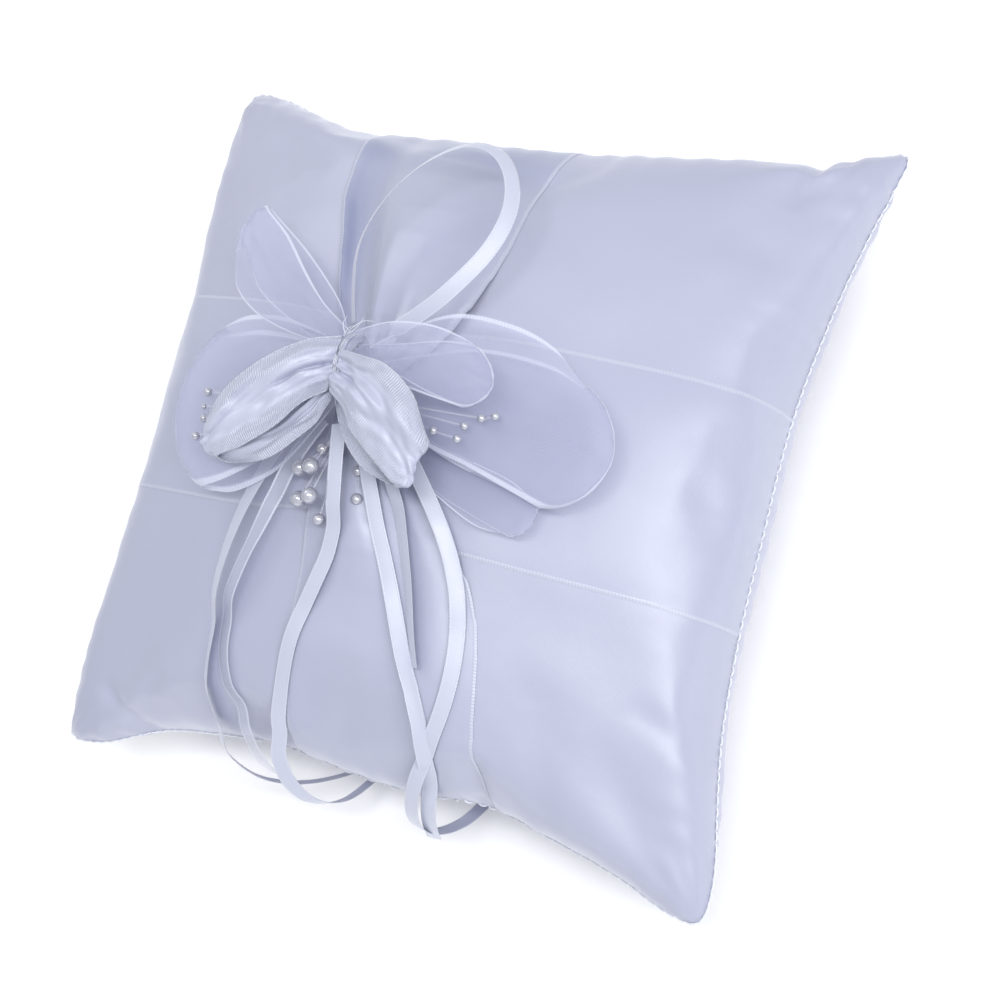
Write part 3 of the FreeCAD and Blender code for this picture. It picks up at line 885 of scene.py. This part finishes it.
# ------------ bow loops
def ribbon_grid(rows, outward, pleats, phase, highlight_fold, crumple, across=44, steps=14):
    """The surface of a ribbon and its UV map, which is its length in decimetres and the share of its width.

    Each row is one station: one edge (x, y, z), the other edge (x, y, z), how far the cloth between them
    arches up, how far it is pushed outward, and the depth of its pleats, all in millimetres.
    """
    line = smooth_line(rows, (len(rows) - 1) * steps + 1)
    a, b = line[:, :3], line[:, 3:6]
    arch, push, depth = line[:, 6], line[:, 7], line[:, 8]
    share = np.linspace(0, 1, across)
    chord = a[:, None] + (b - a)[:, None] * share[None, :, None]
    spine = unit(np.gradient(0.5 * (a + b), axis=0))
    up = unit(np.cross(spine, unit(b - a)))
    up *= np.sign(up[0, 2]) or 1
    crown = np.sin(math.pi * share)
    travel = np.linspace(0, 1, len(line))[:, None]
    sway = share[None] + 0.05 * np.sin(5 * travel + phase) * crown[None]
    folds = np.cos(2 * math.pi * pleats * sway + phase)
    folds = folds + 0.6 * np.cos(2 * math.pi * (1.6 * pleats + 1) * sway + 2 * phase)
    strength = 0.6 + 0.4 * np.cos(2 * math.pi * 1.7 * sway + 3 * phase)
    height = arch[:, None] * crown[None] + depth[:, None] * folds * strength * (0.4 + 0.6 * crown[None])
    out = unit(np.array([outward[0], outward[1], 0.0]))
    wobble = 0.35 * np.sin(np.linspace(0, 9, len(line)) + phase)[:, None]
    wobble = wobble * np.sin(2 * math.pi * share + phase)[None]
    bow = (1 - (2 * share - 1) ** 2)[None] ** 0.7 * push[:, None]
    rough = np.zeros_like(height)
    for i in range(rough.shape[0]):
        for j in range(rough.shape[1]):
            here = Vector((share[j] * 3.4 + 7 * phase, i / steps * 0.8, phase))
            rough[i, j] = noise.noise(here) + 0.5 * noise.noise(here * 2.3)
    height = height + crumple * rough * (0.3 + 0.7 * crown[None])
    grid = chord + up[:, None] * (height + wobble)[..., None] + out * bow[..., None]
    length, width = np.meshgrid(run_along(0.5 * (a + b)) * MM / DECIMETRE, share, indexing="ij")
    # painted highlight: at an organza loop's fold the UV width is pulled to its edge value, so the fold
    # takes the lighter, more opaque selvedge colour
    if highlight_fold is not None:
        fold_highlight = np.exp(-((np.linspace(0, len(rows) - 1, len(line)) - highlight_fold) / 0.55) ** 2)[:, None]
        width = np.minimum(width, 1 - width) * (1 - fold_highlight)
    return grid * MM, np.stack([length, width], axis=2)


def loop_piece(name, node, outward, pleats, phase, rows):
    """One loop of the bow, satin or organza by its name, running out from the knot and back."""
    is_satin = "satin" in name
    # organza loops get a painted highlight along the fold at their middle station
    highlight_fold, crumple = (None, 2.6) if is_satin else (len(rows) // 2, 0.8)
    grid, uv = ribbon_grid(rows, outward, pleats, phase, highlight_fold, crumple)
    shape = Shape()
    shape.add_grid(grid, uv)
    piece = shape.build(name, ribbon_satin if is_satin else organza, 0.2 * MM if is_satin else 0, 0)
    if node:
        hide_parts(node)
    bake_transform(piece)


# ------------ knot
KNOT_X, KNOT_Y, KNOT_Z = -9, 12, 84


def knot_piece():
    """A strip of satin wound over the middle of the bow and pinched into creases."""
    around, across = 96, 22
    turn = np.linspace(0, 2 * math.pi, around)
    share = np.linspace(0, 1, across)
    t, s = np.meshgrid(turn, share, indexing="ij")
    creases = 0.55 * np.cos(2 * math.pi * 3.5 * s + 1.5 * np.sin(2 * t))
    creases = creases + 0.3 * np.cos(2 * math.pi * 7 * s + 2 * t)
    pinch = 1 - 0.22 * np.cos(2 * t - 0.6) * 0.6
    x = KNOT_X + (s - 0.5) * 4.4 * pinch + 0.5 * np.sin(t)
    rounding = -1.1 * (2 * s - 1) ** 4
    radius_y = 8.4 + creases + rounding
    radius_z = 6.7 + creases * 0.9 + rounding
    grid = np.stack([x, KNOT_Y + radius_y * np.cos(t), KNOT_Z + radius_z * np.sin(t)], axis=2) * MM
    grid[-1] = grid[0]
    uv = np.stack([t * 8.3 / 100, s], axis=2)
    shape = Shape()
    shape.add_grid(grid, uv, flip=True)
    piece = kept(shape.build("knot", ribbon_satin, 0.25 * MM, 0), "pillow", "ribbon_satin", "knot_wrap")


def gathers_piece():
    """The ribbons' roots, drawn into a pleated bundle inside the knot."""
    lengthwise, around = 28, 72
    x = np.linspace(-12, -6, lengthwise)
    turn = np.linspace(0, 2 * math.pi, around, endpoint=False)
    xx, t = np.meshgrid(x, turn, indexing="ij")
    flare = 1 + 0.10 * ((xx - KNOT_X) / 3) ** 2
    pleat = 1 + 0.08 * np.cos(9 * t + 0.4 * xx) + 0.03 * np.cos(21 * t)
    y = KNOT_Y + 6.2 * flare * pleat * np.cos(t)
    z = KNOT_Z + 5.2 * flare * pleat * np.sin(t)
    shape = Shape()
    shape.add_grid(np.stack([xx, y, z], axis=2) * MM, closed=True, flip=True)
    shape.close_ends(lengthwise, around)
    kept(shape.build("gathers", ribbon_satin), "pillow", "ribbon_satin", "gathered_middle")


def binding_piece():
    """Thread wound tightly over the knot, with its frayed ends standing off to the upper right."""
    shape = Shape()
    turn = np.linspace(0.2, 2 * math.pi * 2.4, 260)
    x = -9.4 + 1.0 * turn / turn[-1] + 0.25 * np.sin(3 * turn)
    path = np.stack([x, KNOT_Y + 8.9 * np.cos(turn), KNOT_Z + 7.3 * np.sin(turn)], axis=1) * MM
    shape.add_tube(path, 0.11 * MM, 7)
    for end in (
        [(-8.5, 19, 90.5), (-6.5, 20.5, 92), (-3.5, 22.5, 92.6), (-1, 23, 92)],
        [(-8.2, 19.5, 90), (-6, 21.5, 90.6), (-4.5, 24, 91)],
        [(-8.8, 18.5, 91), (-7, 20, 93), (-4.5, 20.8, 94)],
        [(-9.4, 19.5, 90), (-10, 21.6, 91), (-9, 23.6, 91.6)],
    ):
        shape.add_tube(smooth_line(end, 24) * MM, np.linspace(0.13, 0.05, 24) * MM, 6)
    kept(shape.build("binding", thread), "pillow", "thread", "binding_thread")


def tacking_piece():
    """Hidden stitches that hold the bow's knot to the cover."""
    shape = Shape()
    for x, y, lean in ((-9.4, 11.6, 0.5), (-8.6, 12.3, -0.4), (-9.0, 12.6, 0.2)):
        path = [(x, y, 60), (x + lean, y + 0.3, 67), (x, y, 75.5), (x + 0.2, y, 77)]
        shape.add_tube(smooth_line(path, 20) * MM, 0.2 * MM, 6)
    kept(shape.build("tacking", thread), "pillow", "thread", "tacking_thread")


knot_piece()
gathers_piece()
binding_piece()
tacking_piece()
loop_piece(
    "organza_left", "organza_loop_left", (-1.0, -0.1), 6, 0.4,
    [
        (-9.6, 16, 83.5, -9.6, 7, 83.5, 0, 0, 0.8), (-19, 20, 84.5, -17, -1, 82.8, 0.5, 0, 0.8),
        (-33, 23, 83.5, -27, -13, 81.8, 0.3, 1, 0.22), (-44, 22.5, 82.2, -38, -20.5, 81, 0, 4, 0.03),
        (-51, 19.5, 81, -45, -23.5, 79.6, 0, 10, 0), (-53, 18.5, 78.5, -47.5, -24, 77.4, 0, 12, 0),
        (-51, 19, 75.8, -45, -24, 75.2, 0, 10, 0), (-43, 21, 74.8, -38, -22.5, 74.6, 0, 4.5, 0.03),
        (-30, 20, 76.2, -27, -15, 75.8, 0, 1, 0.22), (-18, 15, 79, -17, -2, 78.6, 0, 0, 0.6),
        (-9.6, 14, 81.5, -9.6, 8, 81.5, 0, 0, 0.6),
    ],
)
loop_piece(
    "organza_upper_left", "organza_loop_upper_left", (-0.9, 0.44), 3, 1.1,
    [
        (-9.6, 17, 84.2, -9.6, 20.5, 84.2, 0, 0, 0.35), (-27, 18.5, 84, -21, 27.5, 83.5, 1, 1, 0.22),
        (-42, 23, 82.5, -31, 36, 81.5, 1, 2, 0.03), (-52, 30, 81, -41, 46, 80, 0.6, 2.5, 0),
        (-56, 39, 79.5, -50, 52.5, 78.8, 0, 3, 0), (-56.5, 41.5, 77.4, -52, 54.6, 77, 0, 3, 0),
        (-55, 40.5, 75.4, -49.5, 52.5, 75.2, 0, 3, 0), (-48, 31, 75.6, -36.5, 43.5, 75.6, 0, 2, 0.02),
        (-31, 22, 77, -22.5, 31.5, 77, 0, 1, 0.06), (-18, 17, 80, -14.5, 22, 80, 0, 0, 0.22),
        (-9.6, 17, 82.2, -9.6, 20, 82.2, 0, 0, 0.22),
    ],
)
loop_piece(
    "satin_left", "satin_loop_left", (-0.82, -0.57), 5, 0.2,
    [
        (-9.3, 18.5, 91, -9.3, 4, 91, 0, 0, 0.7), (-17, 15.5, 94, -14.5, 0, 91.8, 0.8, 0, 0.8),
        (-27, 9, 95.2, -21.5, -7, 91, 1.5, 0, 0.45), (-36, 0.5, 94.4, -29.5, -13, 90, 1.5, 0.5, 0.12),
        (-41, -7, 92.4, -35.5, -16, 89.4, 0.8, 1.5, 0.05), (-42, -9, 90, -37.2, -17.2, 88.4, 0, 2, 0),
        (-40, -9, 87.8, -33.5, -17.5, 87.2, 0, 1.5, 0), (-31, -4, 86.8, -23, -14.5, 87.4, -0.3, 0.5, 0.2),
        (-19, 4, 86.8, -13.5, -5.5, 88, 0, 0, 0.6), (-9.3, 11, 88, -9.3, 2.5, 88.6, 0, 0, 0.7),
    ],
)
loop_piece(
    "organza_right", "organza_loop_right", (1.0, -0.15), 6, 2.2,
    [
        (-8.4, 16, 83.8, -8.4, 7, 83.4, 0, 0, 0.8), (4, 24, 84.8, 3, 2, 82.3, 0.6, 0, 0.8),
        (17, 30, 84.2, 15, -3, 81.2, 0.6, 0, 0.35), (32, 29.5, 82.8, 28, -6.5, 80.3, 0.4, 1, 0.06),
        (43, 26, 81.2, 38, -9.5, 79, 0, 5, 0.02), (50.5, 20, 79.4, 46, -12, 77.6, 0, 12, 0),
        (52, 18.5, 77, 47.5, -12.5, 75.8, 0, 14, 0), (50, 19, 74.8, 45.5, -12, 74.2, 0, 12, 0),
        (40, 23, 74.8, 36, -9, 74.4, 0, 4, 0.02), (22, 24, 76.2, 20, -5, 75.9, 0, 0, 0.12),
        (6, 19, 79, 5, 2, 79, 0, 0, 0.5), (-8.4, 13.5, 81.5, -8.4, 9, 81.5, 0, 0, 0.6),
    ],
)
loop_piece(
    "organza_short", "organza_loop_short", (1.0, -0.1), 3, 0.9,
    [
        (-8.4, 20, 89.6, -8.4, 13, 90.5, 0, 0, 0.5), (4, 23.5, 92, 4, 10, 93, 0.5, 0, 0.35),
        (16, 24, 92.8, 15, 7.5, 92.4, 1, 0.5, 0.06), (25, 22, 92.6, 25, 6, 91, 0.8, 4, 0),
        (28, 20.8, 90.2, 28, 6, 88.8, 0, 6, 0), (25, 22, 87.8, 25, 6.5, 86.8, 0, 4, 0),
        (16, 22, 87, 15, 9, 86.6, 0, 0.5, 0.03), (4, 19.5, 87, 4, 12.5, 86.8, 0, 0, 0.12),
        (-8.4, 17.5, 87.5, -8.4, 14.5, 87.5, 0, 0, 0.22),
    ],
)
loop_piece(
    "satin_right", "satin_loop_right", (0.75, -0.66), 4, 2.6,
    [
        (-8.7, 15, 91.4, -8.7, 4, 91.4, 0, 0, 0.7), (0, 13.5, 94.4, -3.5, 0.5, 92.6, 0.8, 0, 0.6),
        (9, 11.5, 96, 1.5, -5, 93.6, 1.4, 0, 0.12), (17.5, 5.5, 96, 8, -10, 93.4, 1.8, 1, 0.03),
        (22, -2, 94, 14, -14.5, 91.6, 1, 2.5, 0), (22.5, -4, 91.2, 15.5, -15.8, 89.8, 0, 3, 0),
        (20, -2.5, 88.2, 13, -15.5, 87.8, 0, 2, 0), (12, 3, 86.8, 3.5, -12.5, 86.6, 0, 0.5, 0.06),
        (2, 9, 87, -4.5, -5, 86.8, 0, 0, 0.35), (-8.7, 12, 88.4, -8.7, 4, 88, 0, 0, 0.6),
    ],
)
loop_piece(
    "organza_leaf", None, (0.9, -0.4), 3, 0.3,
    [
        (-5, 6, 79.6, -5, 3.5, 79.6, 0, 0, 0.12), (6, 1.5, 76, 4, -5, 75.8, 0, 0, 0.06),
        (22, -3, 75, 17, -13, 74.8, 0.2, 0, 0.03), (38, -7, 74.8, 31, -19.5, 74.4, 0.2, 1, 0),
        (45, -11, 74.4, 40, -20, 74, 0, 2, 0), (46, -12, 73.6, 41, -20.3, 73.4, 0, 2.2, 0),
        (44, -11, 73, 38, -19.8, 72.9, 0, 1.8, 0), (24, -4.5, 73.8, 19, -13.5, 73.7, 0, 0, 0),
        (6, 1, 75.2, 4, -4.5, 75, 0, 0, 0.03), (-5, 5.5, 78.8, -5, 3.5, 78.8, 0, 0, 0.06),
    ],
)

# ------------ narrow ribbons
NARROW = 4 * MM
LYING = 0.55 * MM
NEAR = 3.4 * MM
ground = surface_tree([front, band_across, band_down], [back])


def follow(points):
    """Points along the smooth line of a route, read from a NURBS spline that has no bevel."""
    data = bpy.data.curves.new("route", "CURVE")
    data.dimensions = "3D"
    data.resolution_u = 12
    spline = data.splines.new("NURBS")
    spline.points.add(len(points) - 1)
    for control, place in zip(spline.points, points):
        control.co = (*[value * MM for value in place], 1)
    spline.order_u = 3
    spline.use_endpoint_u = True
    holder = placed("route", data)
    mesh = bpy.data.meshes.new_from_object(holder)
    line = np.array([v.co for v in mesh.vertices], float)
    bpy.data.objects.remove(holder)
    bpy.data.meshes.remove(mesh)
    return line


def settled(rows, shares):
    """Moves each row across a ribbon, as a whole, to rest just clear of the pillow where it is near it."""
    shifts = np.zeros((len(rows), 3))
    for number, (row, share) in enumerate(zip(rows, shares)):
        lowest, facing, height_there = 1.0, None, 0.0
        for point in row:
            place, normal, _, _ = ground.find_nearest(Vector(point))
            height = (Vector(point) - place).dot(normal)
            if height < lowest:
                lowest, facing, height_there = height, np.array(normal), place.z
        if lowest < LYING:
            shifts[number] = facing * min(LYING - lowest, 3 * MM)
        elif lowest < NEAR and height_there > SEAM_Z + 8 * MM:
            fade = min(1.0, (NEAR - lowest) / (1.2 * MM))
            shifts[number] = -facing * (lowest - LYING) * share * fade
    kernel = np.array([1, 2, 3, 4, 3, 2, 1]) / 16
    wide = np.pad(shifts, ((3, 3), (0, 0)), mode="edge")
    smooth = np.stack([np.convolve(wide[:, k], kernel, mode="valid") for k in range(3)], axis=1)
    return rows + smooth[:, None]


def narrow_ribbon(name, route, turns):
    """A narrow ribbon along a route in mm, turned about its own line.

    Each turn is (share of the length, degrees).
    """
    line = follow(route)
    run = run_along(line)
    keep = np.concatenate([[True], np.diff(run) > 1e-7])
    line, run = line[keep], run[keep]
    share = run / run[-1]
    tangents = unit(np.gradient(line, axis=0))
    side = unit(np.cross(tangents[0], np.array([0.0, 0.0, 1.0])))
    across = np.linspace(-1, 1, 7)
    rows = []
    for p, t, along in zip(line, tangents, share):
        side = unit(side - t * np.dot(side, t))
        up = np.cross(side, t)
        angle = math.radians(np.interp(along, *zip(*turns)))
        flat = side * math.cos(angle) + up * math.sin(angle)
        bowed = up * math.cos(angle) - side * math.sin(angle)
        rows.append([p + flat * w * NARROW / 2 + bowed * 0.10 * MM * (1 - w * w) for w in across])
    grid = np.array(rows)
    if name != "narrow_loop_top":
        grid = settled(grid, np.minimum(1.0, share * 4))
        grid = settled(grid, np.zeros(len(share)))
    shape = Shape()
    shape.add_grid(grid, uv_grid(run / DECIMETRE, (across + 1) / 2))
    is_sheer = name == "sheer_tail"
    cloth = sheer_satin if is_sheer else narrow_satin
    piece = shape.build(name + "_ribbon", cloth, 0 if is_sheer else 0.14 * MM, 0)
    kept(piece, "pillow", "organza" if is_sheer else "narrow_satin", name)


narrow_ribbon(
    "narrow_loop_top",
    [
        (-11, 23.6, 85), (-13, 33, 87), (-14, 43, 88.5), (-11, 54, 88.5), (-5, 64, 87.5), (2, 71, 86),
        (10, 74.5, 85), (18, 72, 84.5), (23, 65, 84.5), (24.5, 56, 85), (22, 46, 86), (16.5, 37, 87),
        (9.5, 29, 86.5), (1, 23, 85),
    ],
    [(0, 50), (0.3, 54), (0.45, 48), (0.54, 38), (0.62, 31), (0.85, 27), (1, 18)],
)
narrow_ribbon(
    "narrow_tail_left",
    [
        (-9, -2, 82), (-7, -12, 82), (-6, -21, 80), (-6.5, -30, 76), (-9.5, -40, 73), (-13.5, -50, 70.5),
        (-16, -61, 66.5), (-17.8, -72, 61.8), (-19.8, -82, 54), (-20.8, -89.5, 45.5), (-20.6, -94, 37),
        (-19.2, -96.6, 28.5), (-16.2, -96, 20.5), (-13.5, -92, 14), (-10.5, -84, 8.8),
    ],
    [(0, 0), (0.5, 5), (0.62, 28), (0.72, 38), (0.8, 24), (0.88, 6), (1, 0)],
)
narrow_ribbon(
    "narrow_tail_far_left",
    [
        (-17.5, 5.5, 77.6), (-25, -2, 75.4), (-31, -12, 74.4), (-35.8, -24, 73.2), (-39, -36, 71.6),
        (-40.6, -49, 69.5), (-40.8, -61, 65.5), (-40.8, -72, 60), (-41, -82, 52), (-40.7, -89, 43.5),
        (-39.4, -92.5, 35), (-35.9, -94.5, 27), (-28.5, -93, 19), (-20.5, -88.5, 13), (-15.5, -84, 8.8),
    ],
    [(0, 0), (0.2, -10), (0.35, -28), (0.5, -40), (0.62, -35), (0.8, -14), (1, -8)],
)
narrow_ribbon(
    "sheer_tail",
    [
        (-16.5, -0.5, 77.6), (-22.5, -9, 76), (-26.5, -20, 74.5), (-29.8, -30, 72.8), (-33.5, -40.5, 71.2),
        (-36.8, -51, 68.4), (-37.3, -62, 64), (-34.5, -71.5, 59.5), (-31, -79.5, 54.5), (-29.2, -86, 48.5),
        (-28.3, -90, 42), (-28, -91.5, 35.5),
    ],
    [(0, 0), (0.2, 30), (0.35, -10), (1, 0)],
)
narrow_ribbon(
    "narrow_tail_middle",
    [
        (-4.5, -2.8, 78), (0.3, -12.5, 77.3), (5, -23.5, 75.7), (9.5, -34, 73.6), (13.5, -43.5, 71.4),
        (17.8, -52.5, 69), (22.6, -61, 66.2), (26, -69.5, 62.8), (27, -78.5, 57), (25, -86.5, 48),
        (22, -92, 39), (19.5, -95.5, 30), (17.8, -97, 24),
    ],
    [(0, 0), (0.3, 8), (0.5, 45), (0.62, 40), (0.8, 0), (1, 0)],
)
narrow_ribbon(
    "narrow_tail_short",
    [
        (1.2, -3.5, 77.8), (6.7, -12.8, 76.8), (12.3, -24, 75), (16, -35, 72.8), (19, -46, 70),
        (22.5, -56, 66.4),
    ],
    [(0, -10), (0.5, -35), (1, -50)],
)
narrow_ribbon(
    "narrow_tail_right",
    [
        (7.5, -2.8, 77.8), (14.2, -10.8, 76.8), (21.3, -19.5, 75.3), (27.3, -29, 73.4), (31, -40, 71),
        (32.2, -51.5, 68), (31.2, -63, 65), (28, -74, 61.8), (23.8, -83.5, 55.5), (20, -90.5, 46.5),
        (17.8, -94.5, 37), (17.2, -96, 28), (19, -94.5, 19.5), (22, -89.5, 12.5), (24, -83, 8.5),
    ],
    [(0, 0), (0.2, 25), (0.4, 15), (0.6, 0), (1, 0)],
)

# ------------ pearls and their line
for node_name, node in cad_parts.items():
    kind = node_name.split("_")[0]
    if kind in ("pearls", "stems"):
        for material_slot in node.material_slots:
            material_slot.material = pearl if kind == "pearls" else clear_line


# ------------ floor and light
def floor_piece():
    """A wide pale disc just under the pillow."""
    rings, around = 24, 72
    radius = np.linspace(0.0005, 2.4, rings)
    turn = np.linspace(0, 2 * math.pi, around, endpoint=False)
    r, t = np.meshgrid(radius, turn, indexing="ij")
    grid = np.stack([r * np.cos(t), r * np.sin(t), np.full_like(r, -0.3 * MM)], axis=2)
    material, tree, shader, spot = plain_material("floor")
    grain = clouds(tree, spot, 8.0, 3.0)
    colour = mixed(tree, grain, (0.93, 0.93, 0.94), (0.96, 0.96, 0.965))
    set_shader(tree, shader, Base_Color=colour, Roughness=0.9)
    shape = Shape()
    shape.add_grid(grid, closed=True, flip=True)
    shape.close_ends(rings, around, both=False)
    shape.build("floor", material)


def soft_light(name, place, target, size, power, colour):
    """A rectangular light, size metres wide and high, that faces its target."""
    data = bpy.data.lights.new(name, "AREA")
    data.energy, data.color, data.shape = power, colour, "RECTANGLE"
    data.size, data.size_y = size
    light = placed(name, data)
    light.location = place
    light.rotation_euler = (Vector(target) - Vector(place)).to_track_quat("-Z", "Y").to_euler()


floor_piece()
world = bpy.data.worlds.new("studio")
world.use_nodes = True
background = world.node_tree.nodes["Background"]
background.inputs["Color"].default_value = (0.95, 0.97, 1.0, 1)
background.inputs["Strength"].default_value = 0.61
SCENE.world = world
soft_light("left_light", (-0.6, 0.5, 0.8), (0, 0, 0.05), (1.8, 1.8), 1.8, (1.0, 0.99, 0.98))
soft_light("upper_left_light", (-0.62, 0.53, 0.75), (0, 0, 0.05), (0.45, 0.45), 1.7, (1.0, 1.0, 1.0))
soft_light("strip_light", (0.40, 0.0, 0.82), (0, 0, 0.05), (0.15, 1.0), 6.5, (1.0, 1.0, 1.0))
soft_light("right_light", (0.75, -0.35, 0.55), (0, 0, 0.05), (0.9, 0.9), 1.3, (0.97, 0.98, 1.0))
soft_light("front_light", (0.0, -0.9, 0.12), (0, -0.08, 0.03), (1.2, 0.4), 1.3, (1.0, 0.99, 1.0))
SCENE.view_settings.view_transform = "Standard"
